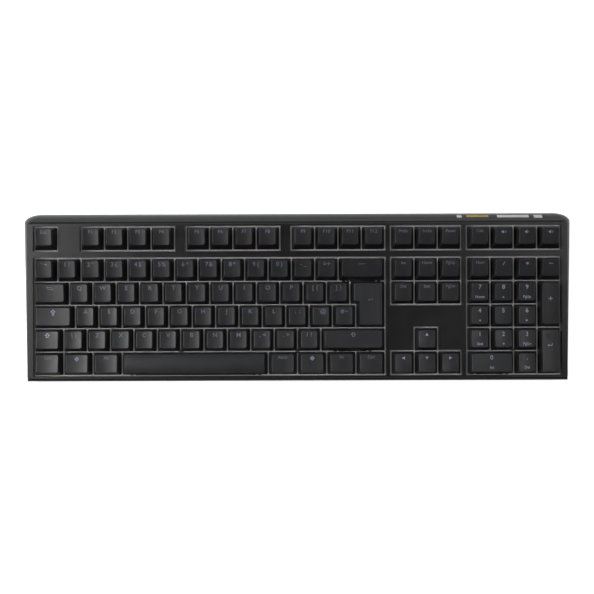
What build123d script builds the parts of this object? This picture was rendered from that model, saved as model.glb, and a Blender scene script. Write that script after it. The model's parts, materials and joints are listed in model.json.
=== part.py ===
from build123d import *
import math
import os

# Full-size mechanical keyboard with 109 keys in the European (tall Enter) arrangement.
# Millimetres and degrees.  The origin is on the desk under the middle of the case;
# +X is to the typist's right, +Y is away from the typist and +Z is up.

# ---------------------------------------------------------------- key field
KEY_PITCH = 19.05            # centre to centre distance of single-width keys
FUNCTION_ROW_GAP = 6.5       # extra space between the number row and the function row
FUNCTION_ROW = 5             # rows are counted from the front, starting at 0
FIELD_UNITS = 22.5           # width of the key field in key pitches
FIELD_HALF_X = FIELD_UNITS * KEY_PITCH / 2
FIELD_HALF_Y = (6 * KEY_PITCH + FUNCTION_ROW_GAP) / 2
KEY_TRAVEL = 4.0             # full stroke of every key, square to the deck

# ---------------------------------------------------------------- deck
DECK_TILT = 6.0              # slope of the deck, rear edge high
DECK_HEIGHT = 18.3           # top of the switch plate above the desk at the field's middle
DECK_Y = -3.1                # the key field sits a little in front of the case's middle
TILT_SIN = math.sin(math.radians(DECK_TILT))
TILT_COS = math.cos(math.radians(DECK_TILT))
DECK = Plane(origin=(0, DECK_Y, DECK_HEIGHT), x_dir=(1, 0, 0), z_dir=(0, -TILT_SIN, TILT_COS))

# Heights above the deck (the top face of the switch plate), square to it
PLATE_THICKNESS = 1.5
FOAM_TOP = -1.7
FOAM_BOTTOM = -4.7
BOARD_TOP = -5.0
BOARD_BOTTOM = -6.6
SKIRT_LEVEL = 6.2            # lower edge of a keycap at rest
BEZEL_BOTTOM = 6.2
BEZEL_TOP = 8.5
WELL_WALL_BOTTOM = 2.2

# ---------------------------------------------------------------- keycaps
CAP_GAP = 0.85               # gap between the skirts of neighbouring keycaps
CAP_WALL = 1.5
CAP_ROOF = 1.0               # plastic left under the lowest point of the dish
CAP_REAR_INSET = 1.5
CAP_SIDE_INSET = 2.65
CAP_EDGE_RADIUS = 0.5
DISH_DEPTH = 0.55
BOSS_BOTTOM = 6.8
BOSS_DIAMETER = 5.5
CROSS_DEPTH = 4.0
# height of the top above the skirt, backward tilt of the top, inset of the front wall
ROW_SHAPES = {
    5: (9.8, 8.0, 3.6),
    4: (9.8, 8.0, 3.1),
    3: (8.5, 4.0, 2.4),
    2: (7.8, 0.0, 2.4),
    1: (8.0, -5.0, 2.7),
    0: (8.0, -5.0, 2.3),
}
TALL_SHAPES = {2: (8.3, 2.0, 2.4), 0: (8.0, -5.0, 2.3)}
SPACE_CROWN_RADIUS = 26.0

# ---------------------------------------------------------------- switches
HOLE_SIZE = 14.0             # square opening in the plate for one switch
BASE_SIZE = 13.8
FLANGE_SIZE = 15.6
FLANGE_TOP = 1.0
CAVITY_SIZE = 11.6
CAVITY_FLOOR = -3.6
POST_DIAMETER = 3.9
POST_BOTTOM = -8.3
PEG_DIAMETER = 1.6
PEG_OFFSET = 5.08
GUIDE_TOP = -1.6
GUIDE_DIAMETER = 3.4
GUIDE_BORE = 2.5
GUIDE_FLOOR = -6.6
COVER_TOP = 6.6
COVER_OPENING = (7.5, 6.7)
STEM_SIZE = (7.0, 6.2)
STEM_BOTTOM = 0.6
STEM_TOP = 6.6
STEM_BORE = 5.2
STEM_BORE_TOP = 5.0
POLE_DIAMETER = 2.2
POLE_BOTTOM = -2.2
CROSS_TOP = 10.2
SPRING_WIRE = 0.3
SPRING_RADIUS = 2.05
SPRING_BOTTOM = -3.4
SPRING_TOP = 4.8
LIGHT_OFFSET = 4.6           # the light window sits behind the switch centre
SOCKET_SIZE = (10.9, 4.6)
SOCKET_BOTTOM = -8.4

# ---------------------------------------------------------------- stabilizers
STAB_SPREAD = 11.9           # insert to key centre on the 2 to 3 unit keys
SPACE_SPREAD = 50.0          # insert to key centre on the space bar
WIRE_DIAMETER = 1.4
WIRE_PIVOT_Y = -9.3
WIRE_PIVOT_Z = 0.85
WIRE_ARM = 8.35
WIRE_SWING = 28.0            # total swing of the wire over the key's stroke
STAB_WIDTH = 7.4
STAB_REAR = 5.9
STAB_FRONT = -5.8
STAB_NOSE = -10.0
STAB_TOP = 5.4
STAB_BOTTOM = -4.4

# ---------------------------------------------------------------- case
FLOOR_BOTTOM = 1.6           # the rubber feet lift the case this far off the desk
FLOOR_THICKNESS = 1.8
SIDE_WALL = 2.2
FRONT_WALL = 1.3
WELL_MARGIN = 0.8            # gap from the key field's edge to the bezel
WELL_WALL = 0.8
WELL_CLEARANCE = 0.15        # between the well walls and the outer shell
BEZEL_HALF_X = 220.0
BEZEL_FRONT = -63.1
BEZEL_REAR = 63.2
POST_OUTER = 6.0
SCREW_DIAMETER = 2.0
SCREW_HEAD = 3.6
SCREW_HEAD_HEIGHT = 1.2
SCREW_LENGTH = 8.0
PAD_THICKNESS = 0.9

# ---------------------------------------------------------------- folding feet
FOOT_X = 168.0
FOOT_PIVOT_Y = 52.9
FOOT_PIVOT_Z = 3.8
TALL_FOOT_LENGTH = 16.0
SHORT_FOOT_LENGTH = 10.5
TALL_FOOT_WIDTH = 30.0
SHORT_FOOT_WIDTH = 18.0
USB_X = 0.0

# ---------------------------------------------------------------- key arrangement
# each key: node it belongs to, row, left edge, width and depth in key pitches
KEYS = []


def key_run(node, row, left, count, width=1.0, depth=1.0):
    """Lay a run of equal keys side by side, starting at the given left edge."""
    for index in range(count):
        KEYS.append((node, row, left + index * width, width, depth))


key_run("escape_key", 5, 0.0, 1)
key_run("function_keys_f1_to_f4", 5, 2.0, 4)
key_run("function_keys_f5_to_f8", 5, 6.5, 4)
key_run("function_keys_f9_to_f12", 5, 11.0, 4)
key_run("system_keys", 5, 15.25, 3)
key_run("media_keys", 5, 18.5, 4)
key_run("number_row_keys", 4, 0.0, 13)
key_run("backspace_key", 4, 13.0, 1, 2.0)
key_run("tab_key", 3, 0.0, 1, 1.5)
key_run("top_letter_keys", 3, 1.5, 12)
key_run("enter_key", 2, 13.75, 1, 1.25, 2.0)
key_run("caps_lock_key", 2, 0.0, 1, 1.75)
key_run("home_letter_keys", 2, 1.75, 12)
key_run("left_shift_key", 1, 0.0, 1, 1.25)
key_run("bottom_letter_keys", 1, 1.25, 11)
key_run("right_shift_key", 1, 12.25, 1, 2.75)
key_run("left_control_key", 0, 0.0, 1, 1.25)
key_run("left_super_key", 0, 1.25, 1, 1.25)
key_run("left_alt_key", 0, 2.5, 1, 1.25)
key_run("space_bar", 0, 3.75, 1, 6.25)
key_run("right_alt_key", 0, 10.0, 1, 1.25)
key_run("right_super_key", 0, 11.25, 1, 1.25)
key_run("function_layer_key", 0, 12.5, 1, 1.25)
key_run("right_control_key", 0, 13.75, 1, 1.25)
key_run("navigation_keys", 4, 15.25, 3)
key_run("navigation_keys", 3, 15.25, 3)
key_run("arrow_up_key", 1, 16.25, 1)
key_run("arrow_left_key", 0, 15.25, 1)
key_run("arrow_down_key", 0, 16.25, 1)
key_run("arrow_right_key", 0, 17.25, 1)
key_run("number_pad_keys", 4, 18.5, 4)
key_run("number_pad_keys", 3, 18.5, 3)
key_run("number_pad_keys", 2, 18.5, 3)
key_run("number_pad_keys", 1, 18.5, 3)
key_run("number_pad_keys", 0, 20.5, 1)
key_run("number_pad_plus_key", 2, 21.5, 1, 1.0, 2.0)
key_run("number_pad_enter_key", 0, 21.5, 1, 1.0, 2.0)
key_run("number_pad_zero_key", 0, 18.5, 1, 2.0)

# stabilizer spread of the keys that carry one
STABILIZED = {
    "backspace_key": STAB_SPREAD,
    "enter_key": STAB_SPREAD,
    "right_shift_key": STAB_SPREAD,
    "space_bar": SPACE_SPREAD,
    "number_pad_zero_key": STAB_SPREAD,
    "number_pad_plus_key": STAB_SPREAD,
    "number_pad_enter_key": STAB_SPREAD,
}


def field_x(units):
    """X position of an edge given in key pitches from the field's left edge."""
    return units * KEY_PITCH - FIELD_HALF_X


def field_y(row):
    """Position along the deck of a row's front edge."""
    extra = FUNCTION_ROW_GAP if row >= FUNCTION_ROW else 0.0
    return row * KEY_PITCH + extra - FIELD_HALF_Y


def key_centre(key):
    """Centre of a key on the deck."""
    _, row, left, width, depth = key
    return field_x(left + width / 2), field_y(row) + depth * KEY_PITCH / 2


def on_deck(x, y, turn=0.0):
    """Location on the tilted deck, turned about the deck's normal."""
    return DECK.location * Location((x, y, 0), (0, 0, turn))


def key_turn(key):
    """Deep keys carry their stabilizer turned a quarter turn."""
    return 90.0 if key[4] > 1.5 else 0.0


CENTRES = [key_centre(key) for key in KEYS]
STAB_PLACES = []
for key in KEYS:
    if key[0] in STABILIZED:
        STAB_PLACES.append((key[0], *key_centre(key), key_turn(key), STABILIZED[key[0]]))

# plate screws: six in the gap behind the number row, six between the two front rows
SCREW_PLACES = []
GAP_MIDDLE = field_y(FUNCTION_ROW) - FUNCTION_ROW_GAP / 2
for units in (0.6, 6.25, 10.75, 15.125, 18.375, 22.0):
    SCREW_PLACES.append((field_x(units), GAP_MIDDLE))
for units in (1.25, 6.25, 11.25, 15.125, 18.375, 20.5):
    SCREW_PLACES.append((field_x(units), field_y(1)))


def copies(label, pieces):
    """Group separate solids under one name."""
    return Compound(label=label, children=pieces)


# ---------------------------------------------------------------- keycaps
def cut_cross(bosses):
    """Cross-shaped sockets in the bosses, a little larger than the stem's cross."""
    with BuildSketch(Plane.XY.offset(BOSS_BOTTOM)) as cross:
        with Locations(*bosses):
            Rectangle(4.1, 1.27)
            Rectangle(1.4, 4.1)
    extrude(cross.sketch, amount=CROSS_DEPTH, mode=Mode.SUBTRACT)


def hollow_and_bosses(inner_bottom, inner_top, ceiling, bosses):
    """Empty the shell between two inner outlines, then stand the bosses in it."""
    loft([inner_bottom, inner_top], ruled=True, mode=Mode.SUBTRACT)
    with BuildSketch(Plane.XY.offset(BOSS_BOTTOM)) as rounds:
        with Locations(*bosses):
            Circle(BOSS_DIAMETER / 2)
    extrude(rounds.sketch, amount=ceiling + 0.5 - BOSS_BOTTOM)
    cut_cross(bosses)


def top_plane(height, tilt, shift, drop=0.0):
    """Plane of the keycap's top face, lowered by drop."""
    sine = math.sin(math.radians(tilt))
    cosine = math.cos(math.radians(tilt))
    return Plane(
        origin=(0, shift, SKIRT_LEVEL + height - drop),
        x_dir=(1, 0, 0),
        z_dir=(0, -sine, cosine),
    )


def dish_cut(top, half_width, length, middle=0.0):
    """Scoop a shallow trough across the top, running from front to rear."""
    radius = (half_width**2 + DISH_DEPTH**2) / (2 * DISH_DEPTH)
    start = top.origin - top.y_dir * length
    with BuildSketch(Plane(origin=start, x_dir=top.x_dir, z_dir=top.y_dir * -1)) as trough:
        with Locations((middle, radius - DISH_DEPTH)):
            Circle(radius)
    extrude(trough.sketch, amount=-2 * length, mode=Mode.SUBTRACT)


def keycap(width, depth, shape, bosses, crowned=False):
    """Hollow keycap standing on its skirt plane, with the key centre at the origin."""
    height, tilt, front_inset = shape
    base_x = width * KEY_PITCH - CAP_GAP
    base_y = depth * KEY_PITCH - CAP_GAP
    top_x = base_x - 2 * CAP_SIDE_INSET
    top_y = base_y - front_inset - CAP_REAR_INSET
    shift = (front_inset - CAP_REAR_INSET) / 2
    top = top_plane(height, tilt, shift)
    roof = top_plane(height, tilt, shift, CAP_ROOF + DISH_DEPTH)
    ceiling = roof.origin.Z - shift * math.tan(math.radians(tilt))
    with BuildPart() as cap:
        with BuildSketch(Plane.XY.offset(SKIRT_LEVEL)):
            RectangleRounded(base_x, base_y, 0.9)
        with BuildSketch(top):
            RectangleRounded(top_x, top_y, 1.7)
        loft()
        if crowned:
            crown_middle = top.origin - top.z_dir * SPACE_CROWN_RADIUS
            with BuildSketch(Plane(origin=crown_middle, x_dir=top.y_dir, z_dir=top.x_dir)):
                Circle(SPACE_CROWN_RADIUS)
            extrude(amount=base_x / 2, both=True, mode=Mode.INTERSECT)
            crown = cap.faces().filter_by(GeomType.CYLINDER).sort_by(SortBy.AREA)[-1]
            fillet(crown.edges(), CAP_EDGE_RADIUS)
        else:
            dish_cut(top, top_x / 2, base_y)
            dish = cap.faces().filter_by(GeomType.CYLINDER).sort_by(SortBy.AREA)[-1]
            fillet(dish.edges(), CAP_EDGE_RADIUS)
        with BuildSketch(Plane.XY.offset(SKIRT_LEVEL)) as inner_bottom:
            Rectangle(base_x - 2 * CAP_WALL, base_y - 2 * CAP_WALL)
        with BuildSketch(roof) as inner_top:
            Rectangle(top_x - 2 * CAP_WALL, top_y - 2 * CAP_WALL)
        hollow_and_bosses(inner_bottom.sketch.face(), inner_top.sketch.face(), ceiling, bosses)
    return cap.part


def stepped_outline(left, step_left, right, front, step, rear):
    """Six-cornered outline of the tall Enter key, wider at its rear."""
    points = [(left, front), (right, front), (right, rear)]
    points += [(step_left, rear), (step_left, step), (left, step)]
    return points


def enter_keycap(shape, bosses):
    """Tall Enter keycap: a quarter unit wider over its rear half."""
    height, tilt, front_inset = shape
    gap = CAP_GAP / 2
    right = 1.25 * KEY_PITCH / 2 - gap
    wide_left = -right - KEY_PITCH / 4
    rear = KEY_PITCH - gap
    top = top_plane(height, tilt, 0)
    roof = top_plane(height, tilt, 0, CAP_ROOF + DISH_DEPTH)
    side = CAP_SIDE_INSET
    wall = CAP_WALL
    low = stepped_outline(-right, wide_left, right, -rear, gap, rear)
    high = stepped_outline(
        side - right, wide_left + side, right - side,
        front_inset - rear, gap + front_inset, rear - CAP_REAR_INSET,
    )
    low_inner = stepped_outline(
        wall - right, wide_left + wall, right - wall, wall - rear, gap + wall, rear - wall
    )
    high_inner = stepped_outline(
        side + wall - right, wide_left + side + wall, right - side - wall,
        front_inset + wall - rear, gap + front_inset + wall, rear - CAP_REAR_INSET - wall,
    )
    with BuildPart() as cap:
        with BuildSketch(Plane.XY.offset(SKIRT_LEVEL)):
            Polygon(*low, align=None)
        with BuildSketch(top):
            Polygon(*high, align=None)
        loft(ruled=True)
        upright = cap.edges().filter_by(lambda edge: edge.bounding_box().size.Z > height / 2)
        fillet(upright, 1.0)
        fillet(cap.faces().sort_by(Axis.Z)[-1].edges(), CAP_EDGE_RADIUS)
        dish_half = (high[1][0] - high[3][0]) / 2 - CAP_EDGE_RADIUS / 2
        dish_cut(top, dish_half, 2 * rear, (high[1][0] + high[3][0]) / 2)
        with BuildSketch(Plane.XY.offset(SKIRT_LEVEL)) as inner_bottom:
            Polygon(*low_inner, align=None)
        with BuildSketch(roof) as inner_top:
            Polygon(*high_inner, align=None)
        hollow_and_bosses(inner_bottom.sketch.face(), inner_top.sketch.face(), roof.origin.Z, bosses)
    return cap.part


# ---------------------------------------------------------------- switch pieces
def add_cross():
    """The cross that plugs into a keycap boss."""
    with BuildSketch(Plane.XY.offset(STEM_TOP)) as cross:
        Rectangle(4.0, 1.17)
        Rectangle(1.3, 4.0)
    extrude(cross.sketch, amount=CROSS_TOP - STEM_TOP)


with BuildPart() as stem:
    with BuildSketch(Plane.XY.offset(STEM_BOTTOM)):
        RectangleRounded(*STEM_SIZE, 0.5)
    extrude(amount=STEM_TOP - STEM_BOTTOM)
    with BuildSketch(Plane.XY.offset(STEM_BOTTOM)):
        Circle(STEM_BORE / 2)
    extrude(amount=STEM_BORE_TOP - STEM_BOTTOM, mode=Mode.SUBTRACT)
    with BuildSketch(Plane.XY.offset(POLE_BOTTOM)):
        Circle(POLE_DIAMETER / 2)
    extrude(amount=STEM_BORE_TOP + 0.2 - POLE_BOTTOM)
    add_cross()

with BuildPart() as switch_base:
    with BuildSketch(Plane.XY.offset(BOARD_TOP)):
        RectangleRounded(BASE_SIZE, BASE_SIZE, 0.5)
    extrude(amount=-BOARD_TOP)
    chamfer(switch_base.faces().sort_by(Axis.Z)[0].edges(), 0.5)
    with BuildSketch(Plane.XY):
        RectangleRounded(FLANGE_SIZE, FLANGE_SIZE, 0.6)
    extrude(amount=FLANGE_TOP)
    with BuildSketch(Plane.XY.offset(CAVITY_FLOOR)):
        Rectangle(CAVITY_SIZE, CAVITY_SIZE)
    extrude(amount=FLANGE_TOP - CAVITY_FLOOR, mode=Mode.SUBTRACT)
    with BuildSketch(Plane.XY.offset(CAVITY_FLOOR)):
        Circle(GUIDE_DIAMETER / 2)
    extrude(amount=GUIDE_TOP - CAVITY_FLOOR)
    with BuildSketch(Plane.XY.offset(BOARD_TOP)):
        Circle(POST_DIAMETER / 2)
        with Locations((PEG_OFFSET, 0), (-PEG_OFFSET, 0)):
            Circle(PEG_DIAMETER / 2)
    extrude(amount=POST_BOTTOM - BOARD_TOP)
    with BuildSketch(Plane.XY.offset(GUIDE_TOP)):
        Circle(GUIDE_BORE / 2)
    extrude(amount=GUIDE_FLOOR - GUIDE_TOP, mode=Mode.SUBTRACT)
    with BuildSketch(Plane.XY.offset(BOARD_TOP)):
        with Locations((0, LIGHT_OFFSET)):
            Rectangle(4.6, 3.2)
    extrude(amount=CAVITY_FLOOR - BOARD_TOP, mode=Mode.SUBTRACT)

with BuildPart() as switch_cover:
    with BuildSketch(Plane.XY.offset(FLANGE_TOP)):
        RectangleRounded(14.2, 14.2, 0.8)
    with BuildSketch(Plane.XY.offset(COVER_TOP)):
        RectangleRounded(10.8, 10.4, 0.8)
    loft()
    with BuildSketch(Plane.XY.offset(FLANGE_TOP)) as cover_inside_bottom:
        Rectangle(CAVITY_SIZE, CAVITY_SIZE)
    with BuildSketch(Plane.XY.offset(COVER_TOP - 1.0)) as cover_inside_top:
        Rectangle(9.0, 8.4)
    loft([cover_inside_bottom.sketch.face(), cover_inside_top.sketch.face()], mode=Mode.SUBTRACT)
    with BuildSketch(Plane.XY.offset(COVER_TOP - 1.5)):
        Rectangle(*COVER_OPENING)
    extrude(amount=1.5, mode=Mode.SUBTRACT)
    with BuildSketch(Plane.XY.offset(FLANGE_TOP)):
        with Locations((0, LIGHT_OFFSET + 1.0)):
            Rectangle(4.2, 1.4)
    extrude(amount=COVER_TOP, mode=Mode.SUBTRACT)

# each return spring is a thin sleeve holding the coil's room
with BuildPart() as switch_spring:
    with BuildSketch(Plane.XY.offset(SPRING_BOTTOM)):
        Circle(SPRING_RADIUS + SPRING_WIRE / 2)
        Circle(SPRING_RADIUS - SPRING_WIRE / 2, mode=Mode.SUBTRACT)
    extrude(amount=SPRING_TOP - SPRING_BOTTOM)

with BuildPart() as switch_socket:
    with BuildSketch(Plane.XY.offset(SOCKET_BOTTOM)):
        with Locations((0, LIGHT_OFFSET + 0.4)):
            Rectangle(*SOCKET_SIZE)
    extrude(amount=BOARD_BOTTOM - SOCKET_BOTTOM)
    chamfer(switch_socket.faces().sort_by(Axis.Z)[0].edges(), 0.4)
    with BuildSketch(Plane.XY.offset(BOARD_BOTTOM)):
        with Locations((-6.3, LIGHT_OFFSET - 0.4), (6.3, LIGHT_OFFSET + 1.2)):
            Rectangle(2.2, 2.0)
    extrude(amount=-1.1)

with BuildPart() as key_light:
    with BuildSketch(Plane.XY.offset(BOARD_TOP)):
        with Locations((0, LIGHT_OFFSET)):
            Rectangle(3.5, 2.8)
    extrude(amount=0.8)
    chamfer(key_light.faces().sort_by(Axis.Z)[-1].edges(), 0.2)

# ---------------------------------------------------------------- stabilizer pieces
with BuildPart() as stab_insert:
    with BuildSketch(Plane.XY.offset(0.9)):
        Rectangle(4.2, 7.4)
    extrude(amount=STEM_TOP - 0.9)
    with BuildSketch(Plane.XY.offset(1.25)):
        with Locations((0, -3.7)):
            Rectangle(2.0, 3.5, align=(Align.CENTER, Align.MIN))
    extrude(amount=3.2, mode=Mode.SUBTRACT)
    add_cross()

with BuildPart() as stab_housing:
    housing_depth = STAB_REAR - STAB_FRONT
    housing_middle = (STAB_REAR + STAB_FRONT) / 2
    with BuildSketch(Plane.XY):
        with Locations((0, housing_middle)):
            Rectangle(STAB_WIDTH, housing_depth)
    extrude(amount=STAB_TOP)
    chamfer(stab_housing.faces().sort_by(Axis.Z)[-1].edges(), 0.3)
    with BuildSketch(Plane.XY):
        with Locations((0, housing_middle)):
            Rectangle(STAB_WIDTH - 0.8, housing_depth - 0.8)
    extrude(amount=STAB_BOTTOM)
    with BuildSketch(Plane.XY):
        with Locations((0, (STAB_FRONT + STAB_NOSE) / 2)):
            Rectangle(STAB_WIDTH, STAB_FRONT - STAB_NOSE)
    extrude(amount=2.05)
    with BuildSketch(Plane.XY.offset(STAB_BOTTOM + 0.8)):
        Rectangle(4.8, 8.2)
    extrude(amount=STAB_TOP - STAB_BOTTOM, mode=Mode.SUBTRACT)
    with BuildSketch(Plane.XY.offset(-2.4)):
        with Locations((0, STAB_NOSE - 1)):
            Rectangle(2.2, 8.0, align=(Align.CENTER, Align.MIN))
    extrude(amount=STAB_TOP + 2.4, mode=Mode.SUBTRACT)
    with BuildSketch(Plane.XY):
        with Locations((0, WIRE_PIVOT_Y)):
            Rectangle(STAB_WIDTH, WIRE_DIAMETER + 0.26)
    extrude(amount=WIRE_PIVOT_Z + WIRE_DIAMETER / 2 + 0.13, mode=Mode.SUBTRACT)
    # the keycap's boss dips in here at the end of the stroke
    with BuildSketch(Plane.XY.offset(BOSS_BOTTOM - KEY_TRAVEL - 0.3)):
        Circle(BOSS_DIAMETER / 2 + 0.2)
    extrude(amount=STAB_TOP, mode=Mode.SUBTRACT)


def stab_wire(name, spread):
    """U-shaped wire: a long bar it turns about and two arms that reach the inserts."""
    lift = math.radians(WIRE_SWING / 2)
    wire_plane = Plane(
        origin=(0, WIRE_PIVOT_Y, WIRE_PIVOT_Z),
        x_dir=(1, 0, 0),
        z_dir=(0, -math.sin(lift), math.cos(lift)),
    )
    with BuildPart() as wire:
        with BuildLine(wire_plane) as path:
            FilletPolyline(
                (-spread, WIRE_ARM), (-spread, 0), (spread, 0), (spread, WIRE_ARM), radius=1.6
            )
        with BuildSketch(Plane(origin=path.line @ 0, z_dir=path.line % 0)):
            Circle(WIRE_DIAMETER / 2)
        sweep()
    return wire.part


def export_piece(piece, name):
    """Name a finished piece and write it to its own file."""
    piece.label = name
    export_step(piece, f"parts/{name}.step")


os.makedirs("parts", exist_ok=True)

# ---------------------------------------------------------------- keys
KEY_NODES = []
for key in KEYS:
    if key[0] not in KEY_NODES:
        KEY_NODES.append(key[0])

cap_shapes = {}
for key in KEYS:
    node, row, _, width, depth = key
    spread = STABILIZED.get(node, 0.0)
    shape = TALL_SHAPES[row] if depth > 1.5 else ROW_SHAPES[row]
    style = (node == "enter_key", row, width, depth, spread)
    if style in cap_shapes:
        continue
    bosses = [(0, 0)]
    if spread and key_turn(key):
        bosses += [(0, spread), (0, -spread)]
    elif spread:
        bosses += [(spread, 0), (-spread, 0)]
    if node == "enter_key":
        cap_shapes[style] = enter_keycap(shape, bosses)
    else:
        cap_shapes[style] = keycap(width, depth, shape, bosses, node == "space_bar")

for node in KEY_NODES:
    pieces = []
    for key in KEYS:
        if key[0] != node:
            continue
        _, row, _, width, depth = key
        spread = STABILIZED.get(node, 0.0)
        style = (node == "enter_key", row, width, depth, spread)
        x, y = key_centre(key)
        pieces.append(cap_shapes[style].moved(on_deck(x, y)))
        pieces.append(stem.part.moved(on_deck(x, y)))
        for side in (-1, 1):
            if spread:
                insert_place = on_deck(x, y, key_turn(key)) * Location((side * spread, 0, 0))
                pieces.append(stab_insert.part.moved(insert_place))
    export_piece(copies(node, pieces), node)

# ---------------------------------------------------------------- repeated switch pieces
REPEATED = {
    "switch_bases": switch_base,
    "switch_covers": switch_cover,
    "switch_springs": switch_spring,
    "switch_sockets": switch_socket,
    "key_lights": key_light,
}
for name, piece in REPEATED.items():
    export_piece(copies(name, [piece.part.moved(on_deck(x, y)) for x, y in CENTRES]), name)

housings = []
for name, x, y, turn, spread in STAB_PLACES:
    for side in (-1, 1):
        place = on_deck(x, y, turn) * Location((side * spread, 0, 0))
        housings.append(stab_housing.part.moved(place))
    wire_name = name.replace("_key", "") + "_stabilizer_wire"
    export_piece(stab_wire(wire_name, spread).moved(on_deck(x, y, turn)), wire_name)
export_piece(copies("stabilizer_housings", housings), "stabilizer_housings")


# ---------------------------------------------------------------- plate, foam and circuit board
def stab_openings(width, front, rear):
    """Openings for every stabilizer housing, in the current sketch."""
    for _, x, y, turn, spread in STAB_PLACES:
        for side in (-1, 1):
            with Locations(Location((x, y, 0), (0, 0, turn))):
                with Locations((side * spread, (front + rear) / 2)):
                    Rectangle(width, rear - front, mode=Mode.SUBTRACT)


with BuildPart() as switch_plate:
    with BuildSketch(DECK.offset(-PLATE_THICKNESS)):
        with Locations((0, 0.25)):
            RectangleRounded(434.0, 123.3, 2.0)
        with Locations(*CENTRES):
            Rectangle(HOLE_SIZE, HOLE_SIZE, mode=Mode.SUBTRACT)
        stab_openings(7.0, -8.7, STAB_REAR + 0.2)
        with Locations(*SCREW_PLACES):
            Circle(SCREW_DIAMETER / 2 + 0.2, mode=Mode.SUBTRACT)
    extrude(amount=PLATE_THICKNESS)
export_piece(switch_plate.part, "switch_plate")

with BuildPart() as plate_foam:
    with BuildSketch(DECK.offset(FOAM_BOTTOM)):
        with Locations((0, 0.25)):
            Rectangle(430.0, 120.0)
        with Locations(*CENTRES):
            Rectangle(HOLE_SIZE + 0.4, HOLE_SIZE + 0.4, mode=Mode.SUBTRACT)
        stab_openings(7.8, -8.9, STAB_REAR + 0.5)
        with Locations(*SCREW_PLACES):
            Circle(POST_OUTER / 2 + 0.3, mode=Mode.SUBTRACT)
    extrude(amount=FOAM_TOP - FOAM_BOTTOM)
export_piece(plate_foam.part, "plate_foam")

with BuildPart() as circuit_board:
    with BuildSketch(DECK.offset(BOARD_BOTTOM)):
        Rectangle(432.0, 122.6)
        with Locations((USB_X, 58.0)):
            Rectangle(24.0, 8.4, align=(Align.CENTER, Align.MIN))
        with Locations(*CENTRES):
            Circle(POST_DIAMETER / 2 + 0.2, mode=Mode.SUBTRACT)
            with Locations((PEG_OFFSET, 0), (-PEG_OFFSET, 0)):
                Circle(PEG_DIAMETER / 2 + 0.15, mode=Mode.SUBTRACT)
        with Locations(*SCREW_PLACES):
            Circle(POST_OUTER / 2 + 0.3, mode=Mode.SUBTRACT)
    extrude(amount=BOARD_TOP - BOARD_BOTTOM)
export_piece(circuit_board.part, "circuit_board")

# ---------------------------------------------------------------- bezel
# each well: left and right edge in key pitches, front row and rear row (exclusive)
WELLS = [
    (0.0, 1.0, 5, 6),
    (2.0, 6.0, 5, 6),
    (6.5, 10.5, 5, 6),
    (11.0, 15.0, 5, 6),
    (15.25, 18.25, 5, 6),
    (18.5, 22.5, 5, 6),
    (0.0, 15.0, 0, 5),
    (15.25, 18.25, 3, 5),
    (16.25, 17.25, 0, 2),
    (15.25, 18.25, 0, 1),
    (18.5, 22.5, 0, 5),
]


def wells(margin, mode):
    """Rectangles of all wells grown by margin, in the current sketch."""
    for left, right, front_row, rear_row in WELLS:
        x_low = field_x(left)
        x_high = field_x(right)
        y_low = field_y(front_row)
        y_high = field_y(rear_row - 1) + KEY_PITCH
        with Locations(((x_low + x_high) / 2, (y_low + y_high) / 2)):
            Rectangle(x_high - x_low + 2 * margin, y_high - y_low + 2 * margin, mode=mode)


with BuildPart() as key_bezel:
    with BuildSketch(DECK.offset(BEZEL_BOTTOM)):
        with Locations((0, (BEZEL_FRONT + BEZEL_REAR) / 2)):
            RectangleRounded(2 * BEZEL_HALF_X, BEZEL_REAR - BEZEL_FRONT, 1.5)
    extrude(amount=BEZEL_TOP - BEZEL_BOTTOM)
    bezel_top = key_bezel.faces().sort_by(Axis.Z)[-1]
    chamfer(bezel_top.edges(), 0.5)
    with BuildSketch(DECK.offset(WELL_WALL_BOTTOM)):
        wells(WELL_MARGIN + WELL_WALL, Mode.ADD)
    extrude(amount=BEZEL_BOTTOM - WELL_WALL_BOTTOM)
    with BuildSketch(DECK.offset(WELL_WALL_BOTTOM)):
        wells(WELL_MARGIN, Mode.ADD)
    extrude(amount=BEZEL_TOP - WELL_WALL_BOTTOM, mode=Mode.SUBTRACT)
export_piece(key_bezel.part, "key_bezel")


# ---------------------------------------------------------------- case shells
def case_section(front, rear, half_front, half_rear, corner, inset_x=0.0, inset_front=0.0):
    """Outline on the plane through a front and a rear edge, with rounded rear corners.

    front and rear are (y, z) points; corner gives the rounding (across, along).
    """
    length = math.hypot(rear[0] - front[0], rear[1] - front[1])
    plane = Plane(
        origin=(0, *front),
        x_dir=(1, 0, 0),
        z_dir=(0, front[1] - rear[1], rear[0] - front[0]),
    )
    low = inset_front
    high = length - inset_x
    half_front = half_front - inset_x
    half_rear = half_rear - inset_x
    across, along = corner
    arc_x = half_rear - across
    arc_y = high - along
    with BuildSketch(plane) as section:
        with BuildLine():
            Polyline((-half_rear, arc_y), (-half_front, low), (half_front, low), (half_rear, arc_y))
            EllipticalCenterArc((arc_x, arc_y), across, along, start_angle=0, arc_size=90)
            Line((arc_x, high), (-arc_x, high))
            EllipticalCenterArc((-arc_x, arc_y), across, along, start_angle=90, arc_size=90)
        make_face()
    return section.sketch.face()


def deck_point(y, height):
    """World (y, z) of a point on the deck at the given height above it."""
    along = DECK_Y + y * TILT_COS - height * TILT_SIN
    return along, DECK_HEIGHT + y * TILT_SIN + height * TILT_COS


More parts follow.
